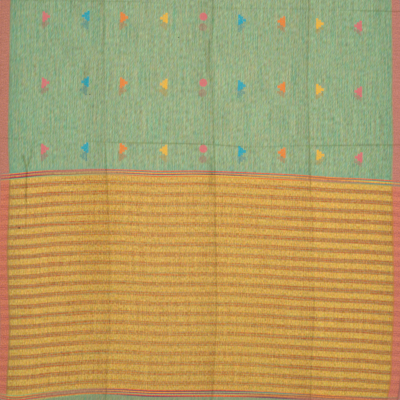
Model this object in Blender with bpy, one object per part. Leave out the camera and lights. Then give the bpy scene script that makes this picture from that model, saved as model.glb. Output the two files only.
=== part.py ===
"""A linen sari folded back and forth into four layers and laid flat, its striped end panel on top.

Metres, +Z up. The warp runs along Y: the hem of the end panel is the near edge, and the first
fold is the far one. X runs across the loom, from selvedge to selvedge. The whole cloth is one
closed sheet, because its borders and its end panel are woven in one with its field.
"""

import collections

import bmesh
import bpy
import numpy as np

# Driving dimensions
LOOM_WIDTH = 1.150
LAYER_LENGTH = 1.3765
SHEET = 0.0010
AIR = 0.0009

# The two ends and the folds, from the top layer down, measured from the hem of the end panel.
TURNS = (
    # name, y
    ("end hem", 0.0),
    ("first fold", LAYER_LENGTH),
    ("second fold", -0.0045),
    ("third fold", LAYER_LENGTH - 0.004),
    ("inner end", 0.0085),
)

# How far each layer has slid across the cloth, along its length. Two layers that meet in a fold
# have slid equally far there.
SLIPS = (
    # y, top layer, second, third, lowest
    (0.000, 0.0, 0.0130, 0.0130, 0.0020),
    (0.150, 0.0, 0.0090, 0.0090, 0.0),
    (0.290, 0.0, -0.0040, -0.0020, -0.0040),
    (0.500, 0.0, -0.0010, 0.0030, -0.0010),
    (1.060, 0.0, -0.0060, -0.0030, -0.0040),
    (1.270, 0.0, -0.0070, -0.0050, -0.0045),
    (LAYER_LENGTH, 0.0, 0.0, -0.0045, -0.0045),
)

# The selvedges wander: how far each stands outside a straight cloth, along the layer.
SELVEDGES = (
    # y, left, right
    (0.000, 0.0068, -0.0125),
    (0.110, 0.0062, -0.0110),
    (0.140, 0.0054, -0.0045),
    (0.165, 0.0044, -0.0015),
    (0.230, 0.0006, 0.0009),
    (0.310, -0.0020, 0.0044),
    (0.390, 0.0002, 0.0066),
    (0.530, 0.0040, 0.0054),
    (0.640, 0.0, 0.0038),
    (0.745, -0.0020, 0.0024),
    (0.835, 0.0014, 0.0049),
    (0.960, -0.0005, 0.0022),
    (1.080, -0.0030, 0.0022),
    (1.236, -0.0047, 0.0004),
    (LAYER_LENGTH, -0.0060, -0.0002),
)

# The weft runs in a bow: how far it stands past a straight line, across the cloth.
WEFT_BOW = (
    # x, at the near edge, at the far edge
    (-0.575, -0.0097, -0.0081),
    (-0.530, -0.0173, -0.0050),
    (-0.440, -0.0063, 0.0014),
    (-0.382, -0.0004, 0.0022),
    (-0.325, 0.0050, 0.0028),
    (-0.124, -0.0006, -0.0019),
    (-0.015, -0.0004, -0.0004),
    (0.161, -0.0022, -0.0099),
    (0.265, -0.0069, -0.0150),
    (0.391, -0.0150, -0.0211),
    (0.530, -0.0195, -0.0285),
    (0.575, -0.0209, -0.0313),
)

# Pressing the sari into a small packet has left creases. Across the cloth it climbs slowly out of
# each crease to a rise, and drops from there into the next crease.
RELIEF_ACROSS = (
    # name, x, height
    ("left selvedge", -0.575, 0.0),
    ("left rise", -0.325, 0.0040),
    ("left crease", -0.269, 0.0010),
    ("middle-left rise", -0.015, 0.0048),
    ("middle crease", 0.043, 0.0010),
    ("middle-right rise", 0.265, 0.0044),
    ("right crease", 0.319, 0.0012),
    ("right rise", 0.500, 0.0034),
    ("right selvedge", 0.575, 0.0),
)
# Along the cloth the rises between its creases are lower, and both ends lie flat.
RELIEF_ALONG = (
    # name, y, height
    ("hem", 0.0, 0.0),
    ("near rise", 0.230, 0.0014),
    ("near crease", 0.431, 0.0004),
    ("middle rise", 0.640, 0.0016),
    ("middle crease", 0.835, 0.0),
    ("far rise", 1.035, 0.0018),
    ("far crease", 1.236, 0.0),
    ("fold", LAYER_LENGTH, 0.0),
)
LIES_DOWN_WITHIN = 0.080

# How finely the sheet is faceted
ACROSS_STEP = 0.060
ALONG_STEP = 0.080
TURN_STEPS = 6

CLOTH_COLOUR = (0.27, 0.38, 0.21, 1.0)
CLOTH_ROUGHNESS = 0.85

LAYER_COUNT = len(TURNS) - 1
PITCH = SHEET + AIR
TOP_LEVEL = (LAYER_COUNT - 1) * PITCH

Station = collections.namedtuple("Station", "y level run_y run_z slip")


def marks_along(low, high, turning_places, step):
    """Places from low to high: one wherever the shape turns, and the others about a step apart."""
    fixed = sorted({low, high} | {place for place in turning_places if low < place < high})
    places = []
    for start, end in zip(fixed, fixed[1:]):
        count = max(1, round((end - start) / step))
        places += list(np.linspace(start, end, count, endpoint=False))
    return places + [high]


def slip_of(layer, y):
    """How far a layer has slid across the cloth at y."""
    along, *slips = zip(*SLIPS)
    return np.interp(y, along, slips[layer])


def section():
    """The cloth's middle line from the end hem to the inner end, with the way that it runs."""
    turning_places = {place for _, place, _ in RELIEF_ALONG} | {place for place, _, _ in SELVEDGES}
    turning_places |= {LIES_DOWN_WITHIN, LAYER_LENGTH - LIES_DOWN_WITHIN}
    line = []
    for layer in range(LAYER_COUNT):
        start, end = (place for _, place in TURNS[layer : layer + 2])
        heading = 1.0 if end > start else -1.0
        if layer > 0:
            start += heading * PITCH / 2
        if layer < LAYER_COUNT - 1:
            end -= heading * PITCH / 2
        level = TOP_LEVEL - layer * PITCH
        low, high = sorted((start, end))
        for y in marks_along(low, high, turning_places, ALONG_STEP)[:: int(heading)]:
            line.append(Station(y, level, heading, 0.0, slip_of(layer, y)))
        if layer < LAYER_COUNT - 1:
            line += turn_down(end, level, heading, slip_of(layer, end))
    return line


def turn_down(y, level, heading, slip):
    """The half circle in which the cloth folds over to the layer below."""
    stations = []
    for angle in np.linspace(0.0, np.pi, TURN_STEPS + 1)[1:-1]:
        out = heading * np.sin(angle) * PITCH / 2
        down = (1.0 - np.cos(angle)) * PITCH / 2
        stations.append(
            Station(y + out, level - down, heading * np.cos(angle), -np.sin(angle), slip)
        )
    return stations


def height_at(place, relief_rows):
    _, places, heights = zip(*relief_rows)
    return np.interp(place, places, heights)


def relief(x, y):
    """How far the top layer stands up from a flat one."""
    from_end = min(y, LAYER_LENGTH - y)
    laid = min(max(from_end / LIES_DOWN_WITHIN, 0.0), 1.0)
    return laid * (height_at(x, RELIEF_ACROSS) + height_at(y, RELIEF_ALONG))


def in_plan(x, y):
    """Where a point of the straight cloth lies once its selvedges wander and its weft bows."""
    along, left, right = zip(*SELVEDGES)
    low = -LOOM_WIDTH / 2 - np.interp(y, along, left)
    high = LOOM_WIDTH / 2 + np.interp(y, along, right)
    across, near, far = zip(*WEFT_BOW)
    bow = np.interp(
        y, (0.0, LAYER_LENGTH), (np.interp(x, across, near), np.interp(x, across, far))
    )
    return low + (x / LOOM_WIDTH + 0.5) * (high - low), y + bow


def point_of(station, x, offset):
    """A point of the sheet, at an offset from its middle towards its right side."""
    plan_x, plan_y = in_plan(x, station.y)
    lifted = station.level / TOP_LEVEL * relief(x, station.y)
    return (
        plan_x + station.slip,
        plan_y - station.run_z * offset,
        SHEET / 2 + station.level + lifted + station.run_y * offset,
    )


def add_strip(shape, near, far):
    """The faces between two rows. The same diagonal on every layer keeps the layers apart."""
    for i in range(len(near) - 1):
        shape.faces.new((near[i], near[i + 1], far[i + 1]))
        shape.faces.new((near[i], far[i + 1], far[i]))


def cloth_mesh(name):
    """The closed sheet: its two sides, its selvedges and its two ends, centred over the origin."""
    line = section()
    turning_places = {place for _, place, _ in RELIEF_ACROSS} | {place for place, _, _ in WEFT_BOW}
    across = marks_along(-LOOM_WIDTH / 2, LOOM_WIDTH / 2, turning_places, ACROSS_STEP)
    shape = bmesh.new()
    right_side, back = (
        [[shape.verts.new(point_of(s, x, side * SHEET / 2)) for x in across] for s in line]
        for side in (1, -1)
    )
    for rows in (right_side, back):
        for i in range(len(line) - 1):
            near, far = sorted((i, i + 1), key=lambda j: line[j].y)
            add_strip(shape, rows[near], rows[far])
    for i in (0, -1):
        add_strip(shape, right_side[i], back[i])
        add_strip(shape, [row[i] for row in right_side], [row[i] for row in back])
    bmesh.ops.recalc_face_normals(shape, faces=shape.faces)
    places = np.array([vert.co for vert in shape.verts])
    middle = (places.min(axis=0) + places.max(axis=0)) / 2
    bmesh.ops.translate(shape, verts=shape.verts, vec=(-middle[0], -middle[1], 0.0))
    mesh = bpy.data.meshes.new(name)
    shape.to_mesh(mesh)
    shape.free()
    mesh.shade_smooth()
    return mesh


def cloth_material():
    material = bpy.data.materials.new("linen")
    material.use_nodes = True
    surface = material.node_tree.nodes["Principled BSDF"]
    surface.inputs["Base Color"].default_value = CLOTH_COLOUR
    surface.inputs["Roughness"].default_value = CLOTH_ROUGHNESS
    surface.inputs["Metallic"].default_value = 0.0
    return material


def clear_scene():
    for thing in list(bpy.data.objects):
        bpy.data.objects.remove(thing, do_unlink=True)


def main():
    clear_scene()
    sari = bpy.data.objects.new("sari_cloth", cloth_mesh("sari_cloth"))
    sari.data.materials.append(cloth_material())
    bpy.context.scene.collection.objects.link(sari)


main()
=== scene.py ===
"""A full-width linen sari folded into four layers and laid flat, its striped end panel on top.

Metres, +Z up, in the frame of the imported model. The warp runs along Y: the hem of the end panel
is the near edge, and the first fold is the far one. X runs across the loom. Tables of places are
in millimetres, as a weaver would note them.
"""

import math
from collections import namedtuple

import bpy
import numpy as np
from bpy.props import FloatProperty, FloatVectorProperty, IntProperty, PointerProperty
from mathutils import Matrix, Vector, noise


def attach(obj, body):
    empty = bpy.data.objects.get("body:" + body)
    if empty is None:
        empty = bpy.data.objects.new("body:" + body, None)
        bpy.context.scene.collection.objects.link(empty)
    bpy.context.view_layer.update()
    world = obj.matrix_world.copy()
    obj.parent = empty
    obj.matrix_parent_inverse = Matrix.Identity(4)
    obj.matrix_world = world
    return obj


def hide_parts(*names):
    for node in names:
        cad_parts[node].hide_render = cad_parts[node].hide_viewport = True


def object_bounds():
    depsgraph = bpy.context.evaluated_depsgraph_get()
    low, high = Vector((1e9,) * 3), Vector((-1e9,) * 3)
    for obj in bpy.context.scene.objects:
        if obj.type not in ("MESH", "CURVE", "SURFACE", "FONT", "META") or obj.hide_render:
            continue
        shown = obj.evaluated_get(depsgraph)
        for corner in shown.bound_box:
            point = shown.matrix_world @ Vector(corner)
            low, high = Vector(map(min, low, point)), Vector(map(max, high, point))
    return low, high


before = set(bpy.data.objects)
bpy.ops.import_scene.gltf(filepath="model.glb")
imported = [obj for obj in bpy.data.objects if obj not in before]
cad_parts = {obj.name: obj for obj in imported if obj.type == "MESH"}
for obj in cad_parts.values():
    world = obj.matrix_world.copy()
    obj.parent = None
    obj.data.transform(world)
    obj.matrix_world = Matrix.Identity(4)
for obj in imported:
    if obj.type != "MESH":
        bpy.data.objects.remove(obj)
SOLID_LOW, SOLID_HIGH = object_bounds()

bl_info = {
    "name": "Folded linen sari",
    "version": (1, 0, 0),
    "blender": (4, 5, 0),
    "location": "View3D > Sidebar > Sari",
    "description": "Makes a linen sari folded into four layers, and a studio floor with its lights",
    "category": "Add Mesh",
}

MM = 0.001

# The ends and the folds of the section, from the top layer down, measured from the hem of the
# end panel.
TURNS = (
    # name, y as a share of the layer's length, y beyond it
    ("end hem", 0.0, 0.0),
    ("first fold", 1.0, 0.0),
    ("second fold", 0.0, -4.5),
    ("third fold", 1.0, -4.0),
    ("inner end", 0.0, 8.5),
)

# How far each layer has slid across the cloth, along its length.
SLIPS = (
    # y, top layer, second, third, lowest
    (0.0, 0.0, 13.0, 13.0, 2.0),
    (150.0, 0.0, 9.0, 9.0, 0.0),
    (290.0, 0.0, -4.0, -2.0, -4.0),
    (500.0, 0.0, -1.0, 3.0, -1.0),
    (1060.0, 0.0, -6.0, -3.0, -4.0),
    (1270.0, 0.0, -7.0, -5.0, -4.5),
    (1376.5, 0.0, 0.0, -4.5, -4.5),
)

# How far each selvedge stands outside a straight cloth, along the layer.
SELVEDGES = (
    # y, left, right
    (0.0, 6.8, -12.5),
    (110.0, 6.2, -11.0),
    (140.0, 5.4, -4.5),
    (165.0, 4.4, -1.5),
    (230.0, 0.6, 0.9),
    (310.0, -2.0, 4.4),
    (390.0, 0.2, 6.6),
    (530.0, 4.0, 5.4),
    (650.0, -0.4, 3.6),
    (745.0, -2.0, 2.4),
    (850.0, 1.7, 5.2),
    (960.0, -0.5, 2.2),
    (1080.0, -3.0, 2.2),
    (1190.0, -4.0, 1.2),
    (1250.0, -4.9, 0.2),
    (1376.5, -6.0, -0.2),
)

# How far the weft stands past a straight line, across the cloth, at some places along it.
WEFT_BOW_AT = (122.0, 175.0, 360.0, 540.0, 680.0, 760.0, 1200.0)
WEFT_BOW = (
    # x, at the lower band, by the last stripes, three places along the panel, at the upper band
    # and at the far motifs
    (-575.0, -9.7, -16.1, -13.0, -13.1, -11.2, -11.4, -8.1),
    (-530.0, -17.3, -14.6, -11.3, -11.3, -9.2, -7.2, -5.0),
    (-472.0, -10.6, -10.6, -8.2, -7.5, -5.4, -1.3, 0.4),
    (-440.0, -6.3, -6.5, -4.6, -3.8, -2.1, 1.0, 1.4),
    (-382.0, -0.4, -2.1, -0.8, -0.4, 0.9, 2.2, 2.2),
    (-313.0, 5.4, 2.8, 3.4, 2.0, 3.2, 4.9, 2.8),
    (-240.0, 4.4, 3.4, 3.2, 1.7, 3.5, 3.9, 0.4),
    (-124.0, -0.6, -1.7, -1.8, -3.4, -2.3, -0.6, -1.9),
    (0.0, -0.4, -1.2, -1.7, -2.9, -1.2, -0.2, -0.2),
    (75.0, -0.6, -1.3, -2.1, -4.5, -3.3, -2.6, -4.0),
    (161.0, -2.2, -4.4, -5.9, -8.8, -8.1, -6.2, -9.9),
    (276.0, -7.4, -11.4, -13.4, -15.2, -14.0, -11.6, -15.5),
    (391.0, -15.0, -18.6, -19.6, -21.0, -19.8, -19.6, -21.1),
    (463.0, -16.8, -21.7, -22.9, -23.6, -22.7, -22.7, -25.2),
    (530.0, -19.5, -27.6, -28.3, -27.8, -26.5, -26.8, -28.5),
    (575.0, -20.9, -31.3, -31.9, -31.3, -29.9, -30.4, -31.3),
)

# The three creases along the cloth, with how hard each was pressed.
LENGTHWISE_CREASES = (
    # y, left x, pressed, middle x, pressed, right x, pressed
    (0.0, -275.5, 0.55, 30.5, 0.55, 315.0, 0.5),
    (115.0, -269.5, 0.62, 36.5, 0.67, 318.0, 0.6),
    (175.0, -266.5, 0.42, 40.5, 0.47, 320.0, 0.5),
    (260.0, -259.5, 0.28, 44.5, 0.4, 324.0, 0.35),
    (375.0, -259.0, 0.3, 47.8, 0.45, 329.0, 0.32),
    (500.0, -261.0, 0.35, 46.2, 0.6, 328.0, 0.22),
    (590.0, -262.0, 0.4, 44.8, 0.65, 325.0, 0.2),
    (675.0, -265.0, 0.57, 44.0, 0.55, 320.0, 0.32),
    (760.0, -269.5, 0.8, 43.0, 0.75, 317.5, 0.8),
    (890.0, -275.0, 0.18, 40.0, 0.58, 313.8, 0.57),
    (990.0, -275.4, 0.25, 36.3, 0.46, 310.2, 0.43),
    (1090.0, -275.2, 0.45, 34.5, 0.3, 310.5, 0.45),
    (1180.0, -274.9, 0.62, 37.0, 0.62, 312.7, 0.58),
    (1250.0, -274.9, 0.58, 38.0, 0.62, 313.7, 0.58),
    (1376.5, -275.5, 0.5, 38.0, 0.6, 314.0, 0.5),
)

# The three creases across the cloth, with how hard each was pressed.
CROSSWISE_CREASES = (
    # x, near y, pressed, middle y, pressed, far y, pressed
    (-575.0, 441.0, 0.3, 854.0, 0.7, 1252.0, 0.6),
    (-540.0, 440.5, 0.3, 852.0, 0.4, 1251.0, 0.4),
    (-500.0, 440.0, 0.3, 850.0, 0.05, 1250.0, 0.4),
    (-340.0, 439.0, 0.4, 844.5, 0.15, 1247.5, 0.5),
    (-290.0, 438.5, 0.4, 842.5, 0.6, 1247.0, 0.6),
    (-200.0, 437.0, 0.4, 840.0, 0.8, 1246.0, 0.6),
    (-100.0, 436.0, 0.3, 838.5, 1.0, 1240.0, 0.25),
    (30.0, 433.0, 0.3, 835.0, 1.0, 1230.0, 0.3),
    (145.0, 430.0, 0.3, 828.0, 0.5, 1226.0, 0.35),
    (260.0, 427.0, 0.3, 831.0, 0.6, 1225.0, 0.3),
    (400.0, 425.0, 0.3, 832.0, 0.9, 1221.0, 0.4),
    (500.0, 424.0, 0.3, 833.5, 1.0, 1219.0, 0.9),
    (575.0, 423.0, 0.3, 834.0, 0.9, 1217.6, 1.0),
)

# Short creases: a run of places on the top layer, and how hard it was pressed.
SHORT_CREASES = (
    # name, pressed, places
    ("left short", 1.3, ((-500.0, 665.0), (-500.0, 690.0), (-498.5, 742.0), (-498.0, 765.0))),
    ("its bent end", 1.2, ((-498.0, 765.0), (-500.5, 778.0), (-505.0, 790.0), (-508.0, 804.0))),
    ("below it", 0.4, ((-501.0, 540.0), (-500.0, 665.0))),
    ("left fork", 0.9, ((-495.0, 775.0), (-492.0, 784.0), (-486.5, 798.0), (-485.5, 808.0))),
    ("its bent end", 0.5, ((-485.5, 808.0), (-482.0, 822.0), (-482.0, 845.0))),
    ("beside the middle", 0.7, ((30.0, 1018.0), (26.0, 1050.0), (27.0, 1130.0))),
    ("second middle", 0.8, ((31.0, 700.0), (34.5, 735.0), (33.0, 795.0))),
    ("left hook", 0.6, ((-297.0, 1249.0), (-279.0, 1236.0))),
    ("faint left", 0.3, ((-329.0, 985.0), (-331.0, 1075.0))),
)

# Across the cloth the top layer climbs slowly out of each crease to a rise, and drops from
# there into the next crease. Along the cloth its rises are lower.
RELIEF_ACROSS = (
    # name, x, height
    ("left selvedge", -575.0, 0.0),
    ("left rise", -325.0, 4.0),
    ("left crease", -269.0, 1.0),
    ("middle-left rise", -15.0, 4.8),
    ("middle crease", 43.0, 1.0),
    ("middle-right rise", 265.0, 4.4),
    ("right crease", 319.0, 1.2),
    ("right rise", 500.0, 3.4),
    ("right selvedge", 575.0, 0.0),
)
RELIEF_ALONG = (
    # name, y, height
    ("hem", 0.0, 0.0),
    ("near rise", 230.0, 1.4),
    ("near crease", 431.0, 0.4),
    ("middle rise", 640.0, 1.6),
    ("middle crease", 835.0, 0.0),
    ("far rise", 1035.0, 1.8),
    ("far crease", 1236.0, 0.0),
    ("fold", 1376.5, 0.0),
)
LIES_DOWN_WITHIN = 80.0
CLIMB_POWER = 1.5
DROP_POWER = 1.7

# Each crease is a groove, with a wider dark line painted along it: partly painted shade and partly
# the pressed fold's own duller colour. The top layer is lifted a little, so that its grooves stay
# clear of the layer below.
GROOVE_DEPTH = 0.75
GROOVE_HALF_WIDTH = 2.6
GROOVE_LIFT = 0.4
CREASE_SHADE_LINE_HALF_WIDTH = 4.2
CROSSWISE_NARROWER = 0.7
CROSSWISE_SHALLOWER = 0.8

RIPPLES = (
    # name, wavelength, height
    ("crinkle", 46.0, 0.22),
    ("ripple", 105.0, 0.45),
    ("swell", 260.0, 0.8),
)
RIPPLE_SEED_STEP = 7.3

# How the cloth's grid is spaced
GRID_ACROSS = 11.6
GRID_ALONG_TOP = 8.6
GRID_ALONG_BELOW = 34.0
BESIDE_LENGTHWISE = (-11.0, -8.6, -6.2, -4.0, -2.0, 0.0, 2.0, 4.0, 7.0)
BESIDE_CROSSWISE = (-5.5, -2.2, 0.0, 2.2, 5.5)
BESIDE_SHORT = (-510.0, -507.0, -504.0, -501.0, -498.0, -495.0, -492.0, -489.0, -486.0, -483.0)
TURN_STEPS = 6
SHARP_EDGE_DEGREES = 60.0

# The pattern along the cloth, measured from the end panel's hem
PANEL_NEAR = 130.9
PANEL_FAR = 743.0
PANEL_SOFT = 0.6
HEM_STRIP = (118.0, 106.0)
BORDER_WIDTH = 24.0
EDGE_SOFT = 0.5
THREAD_PITCH = 0.8
WHITE = (1.0, 1.0, 1.0)

# The stripes of the end panel. Towards its sides their threads run together, from the first of
# two distances from its middle to the second. Where a pair says how a stripe changes, its first
# number holds in the middle and its second at the sides.
STRIPE_FIRST = 722.2
STRIPE_PITCH = 28.6
STRIPE_HALF_WIDTH = 6.6
STRIPE_SOFT = 2.6
STRIPE_THREADS = 6.4
STRIPES_ALONG = (138.9, 743.0, 1.0)
STRIPE_DRIFT_REACH = 3.0
PANEL_MIDDLE = -60.0
STRIPES_CHANGE = (150.0, 480.0)
STRIPE_SHARPNESS = (0.85, 0.30)
STRIPE_RUSTINESS = (0.04, -0.08)
STRIPE_DEPTH = (0.53, 0.88)
GREY_TO_RUST = (-0.5, 0.5)
BROKEN_SHARE = 0.10
DASHES_SHARE = 0.30

# Uneven yarn is noise in streaks, with one table for each part of the cloth. The last three
# columns are what the noise adds to the light of that part, to its red and to its blue.
FIELD_YARNS = (
    # name, width, length, seed, detail, slant, light, red, blue
    ("fine", 1.8, 12.0, 1, 1.0, -0.40, 0.28, -0.0616, 0.028),
    ("thick", 2.8, 110.0, 2, 1.0, -0.03, 0.15, -0.033, 0.015),
    ("cloudy", 90.0, 160.0, 5, 1.0, 0.0, 0.02, -0.0044, 0.002),
    ("short dyed", 2.6, 22.0, 3, 2.0, -0.10, 0.0, 0.31, -0.0465),
    ("long dyed", 2.8, 150.0, 6, 1.0, 0.0, 0.0, 0.22, -0.033),
    ("cool", 2.4, 14.0, 4, 1.0, 0.0, 0.0, 0.0, 0.30),
)
PANEL_YARNS = (
    # name, width, length, seed, detail, slant, light, red, blue
    ("fine", 2.3, 7.0, 11, 1.0, 0.0, 0.35, -0.1925, 0.105),
    ("long", 2.6, 150.0, 12, 1.0, 0.0, 0.15, -0.0825, 0.045),
    ("weft", 24.0, 2.6, 13, 1.0, 0.0, 0.08, -0.044, 0.024),
    ("cool", 2.4, 5.5, 14, 1.0, 0.0, 0.0, 0.0, 0.95),
    ("warm", 2.8, 20.0, 15, 1.0, 0.0, 0.0, 0.15, 0.0),
)
BORDER_YARNS = (
    # name, width, length, seed, detail, slant, light, red, blue
    ("fine", 2.6, 4.0, 21, 1.0, 0.0, 0.20, -0.04, 0.0),
    ("weft", 30.0, 3.0, 22, 1.0, 0.0, 0.09, -0.018, 0.0),
)
BAND_WARP = (
    # name, width, length, seed, detail, slant, light, red, blue
    ("warp", 2.4, 9.0, 51, 1.0, 0.0, 0.25, 0.0, 0.0),
)

# Other uneven yarn, each by its width, length, seed, detail and slant
STRIPE_DRIFT = (240.0, 26.0, 16, 1.0, 0.0)
BROKEN_THREADS = (6.0, 6.0, 18, 1.0, 0.0)
DASHES = (2.2, 20.0, 17, 1.0, 0.0)
BORDER_MOTTLING = (2.6, 5.0, 23, 1.0, 0.0)
CROSSING_THREADS = (2.6, 6.0, 41, 1.0, 0.8)
SLUBS = (1.6, 5.0, 31, 2.0, 0.0)
STREAK_RANGE = 2.0
STREAK_ROUGHNESS = 0.55
SEED_STEPS = (17.3, 9.1)

# Slow changes of colour. A pair of places says where a change begins and where it is whole. Three
# numbers are its two edges and how soft they are. The tint, or a row of the table, is what the
# change adds to the light, the red and the blue.
FIELD_MIDDLE = 15.0
FIELD_SIDES = (180.0, 560.0)
FIELD_SIDES_TINT = (0.0, -0.09, 0.0)
BRIGHT_SIDES = (250.0, 420.0)
# The ruddy patch left of the left crease: its darkening is painted shade, its warmth the yarn's own
# tone.
RUDDY_SHADE_ACROSS = (-345.0, -240.0, 60.0)
RUDDY_SHADE_ALONG = (330.0, 480.0)
WARM_BY_HEM = (560.0, 130.0)
WARM_AT_RIGHT = (250.0, 500.0)
COOL_ACROSS = (-180.0, 0.0, 90.0)
PANEL_PATCHES = (
    # name, light, red, blue
    ("bright sides", 0.075, 0.0, 0.0),
    # darker as painted shade, and warmer in tone
    ("ruddy_and_shaded", -0.06, 0.03, -0.10),
    ("warm by the hem", 0.0, 0.0, -0.10),
    ("warm at the right", 0.0, 0.0, -0.08),
    ("cool", 0.0, 0.0, 0.06),
)

# The borders, where the weft of the stripes shows through them, and painted shade on the cloth
# beside them
BORDER_STRIPE = (-8.0, 8.0, 5.0)
BORDER_STRIPE_LIGHT = (-0.08, -0.20)
BORDER_MOTTLING_SHARES = (0.28, 0.46)
BORDER_CHANGES = (
    # name, light, red, blue
    ("dull", 1.0, -0.2, 0.0),
    ("stripe", 0.0, 0.055, 0.14),
    ("mottled", 0.0, 0.0, 1.0),
    # painted light and shade: the borders grow lighter towards the right and darker towards the
    # left
    ("to the right", 0.0001, -0.00002, 0.0001),
)
# Painted shade along the inner edges of the borders, deeper at the left than at the right
SHADE_BESIDE_BORDER = (84.0, 24.0)
SHADE_BESIDE_BORDER_SHARE = 0.60
DEEPEST_SHADE_BESIDE_BORDER = (30.0, 24.0)
DEEPEST_SHADE_BESIDE_BORDER_SHARE = 0.40
BORDER_SHADE_LEFT_TO_RIGHT = (1.0, 0.30)
BESIDE_BORDER_SHADE_TINT = (0.80, 0.86, 0.84)
STRAYS_BESIDE = (23.0, 28.0, 2.0)
STRAYS_STRENGTH = (0.24, 0.62)
LEFT_EDGE_THREADS = (0.40, 0.17, 0.05)
RIGHT_EDGE_THREADS = (0.62, 0.20, 0.04)

# Teal weft, in the field beside the upper band and the borders, and in the fringe of that band
TEAL_FRINGE = (0.07, 0.40, 0.33)
TEAL_BY_BAND = (777.0, 760.0)
TEAL_BY_BAND_SHARE = 0.20
TEAL_BY_BORDER = (50.0, 24.0)
TEAL_BY_BORDER_SHARE = 0.12
FRINGE_INTO = (-2.4, 0.0, 1.2)
FRINGE_ACROSS = (-440.0, -480.0)
FRINGE_STRENGTH = 0.5

# The two narrow bands: their far edges, and how they cover the field and then the border
BAND_UPPER = 760.4
BAND_LOWER = 130.9
BETWEEN_BANDS = (400.0, 401.0)
BAND_LINE = 2.93
BAND_SOFT = 0.2
BAND_COVER = (0.95, 0.50)

# The lines of the two narrow bands, from the far side towards the hem. Where they run slightly
# slanted against the weft, another yarn comes to the top.
BAND_YARNS = {
    "red": (0.88, 0.07, 0.03),
    "red-orange": (0.92, 0.12, 0.02),
    "orange": (0.85, 0.24, 0.03),
    "gold": (1.00, 0.42, 0.01),
    "yellow": (0.75, 0.55, 0.07),
    "crimson": (0.42, 0.00, 0.12),
    "plum": (0.17, 0.06, 0.13),
    "rust": (0.45, 0.15, 0.07),
    "rose": (0.56, 0.18, 0.11),
    "dusty": (0.47, 0.25, 0.13),
    "khaki": (0.50, 0.36, 0.10),
    "green": (0.35, 0.48, 0.17),
    "teal": (0.10, 0.29, 0.24),
}
UPPER_BAND = (
    # at the left edge, left, middle, right of it, to the right, right, at the right edge
    ("orange", "rose", "red-orange", "red", "red-orange", "orange", "red-orange"),
    ("crimson", "rose", "teal", "teal", "teal", "rust", "teal"),
    ("khaki", "dusty", "gold", "orange", "gold", "orange", "yellow"),
    ("red", "khaki", "crimson", "plum", "dusty", "dusty", "orange"),
    ("plum", "rust", "green", "yellow", "khaki", "rose", "teal"),
    ("green", "green", "red-orange", "orange", "red-orange", "khaki", "khaki"),
)
LOWER_BAND = (
    # at the left edge, left, middle, right of it, to the right, right, at the right edge
    ("green", "khaki", "red-orange", "red-orange", "orange", "orange", "khaki"),
    ("orange", "rose", "plum", "plum", "teal", "rust", "rust"),
    ("rust", "dusty", "gold", "green", "khaki", "orange", "rose"),
    ("khaki", "dusty", "crimson", "crimson", "rust", "rust", "orange"),
    ("red", "rust", "green", "green", "orange", "dusty", "rust"),
    ("teal", "orange", "red", "orange", "rust", "rose", "rose"),
    ("gold", "green", "plum", "red", "plum", "rose", "dusty"),
)
BAND_LINES_AT = (-510.0, -380.0, -130.0, 80.0, 220.0, 370.0, 500.0)
# Tint of the crease lines: partly painted shade, partly the pressed folds' own duller colour.
CREASE_SHADE_AND_WEAR_TINT = (0.62, 0.62, 0.42)

# The small motifs: one row of nine columns, repeated along the field.
MOTIF_FIRST = 822.2
MOTIF_PITCH = 189.9
MOTIF_COLUMNS = (
    # x, how far it stands towards the fold, colour, points right (1), left (-1) or is round (0)
    (-447.5, -0.4, "pink", 1),
    (-329.6, -0.4, "blue", -1),
    (-222.9, -1.0, "orange", 1),
    (-104.2, -2.2, "yellow", -1),
    (7.4, 0.8, "pink", 0),
    (116.5, -2.0, "blue", 1),
    (233.9, -0.2, "orange", -1),
    (340.9, -0.8, "yellow", 1),
    (454.6, -1.6, "pink", -1),
)
MOTIF_STEPS = (
    # from its base to its tip, where each block of inlaid thread starts, and half its height
    (-16.0, 0.0),
    (-9.2, 15.4),
    (-2.2, 10.7),
    (5.3, 4.4),
    (13.2, 0.0),
)
MOTIF_REACH = 16.0
MOTIF_SOFT = 0.6
MOTIF_STANDS_WITHIN = 4.0
MOTIFS_START = (742.2, 743.2)
DISC_RADIUS = 11.5

# How much the crossing threads vary the strength of a motif, and its mean strength. A motif
# that shows through from below is also darker.
INLAID_STRENGTH = (0.45, 0.90)
SHOWN_STRENGTH = (0.24, 0.40)
SHOWN_DARKER = 0.56

# The motifs of the layer beneath show through, a little aside of those on top.
SHOWN_THROUGH = (
    # x, how far they stand to the right, and towards the fold
    (-447.5, -1.5, -19.0),
    (-329.6, -4.2, -23.6),
    (-222.9, -3.0, -22.0),
    (-104.2, -1.5, -19.8),
    (7.4, -1.5, -30.2),
    (116.5, -1.5, -20.4),
    (233.9, -1.5, -16.0),
    (340.9, -1.5, -14.4),
    (454.6, -1.5, -12.6),
)

# Tiny dark knots in the yarn of the top layer
KNOTS = (
    # x, y, radius
    (-64.5, 1143.2, 1.6),
    (-317.7, 974.9, 1.6),
    (-518.2, 605.0, 2.4),
)
KNOT_TINT = (0.14, 0.14, 0.10)
KNOT_SOFT = 0.4

# The cloth's surface, and the relief of its crossing threads
CLOTH_SURFACE = {
    "Roughness": 0.85,
    "Sheen Weight": 0.08,
    "Sheen Roughness": 0.5,
    "Specular IOR Level": 0.25,
}
CROSSINGS_SHARE = 0.35
BUMP = (("Strength", 0.25), ("Distance", 0.0003))

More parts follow.
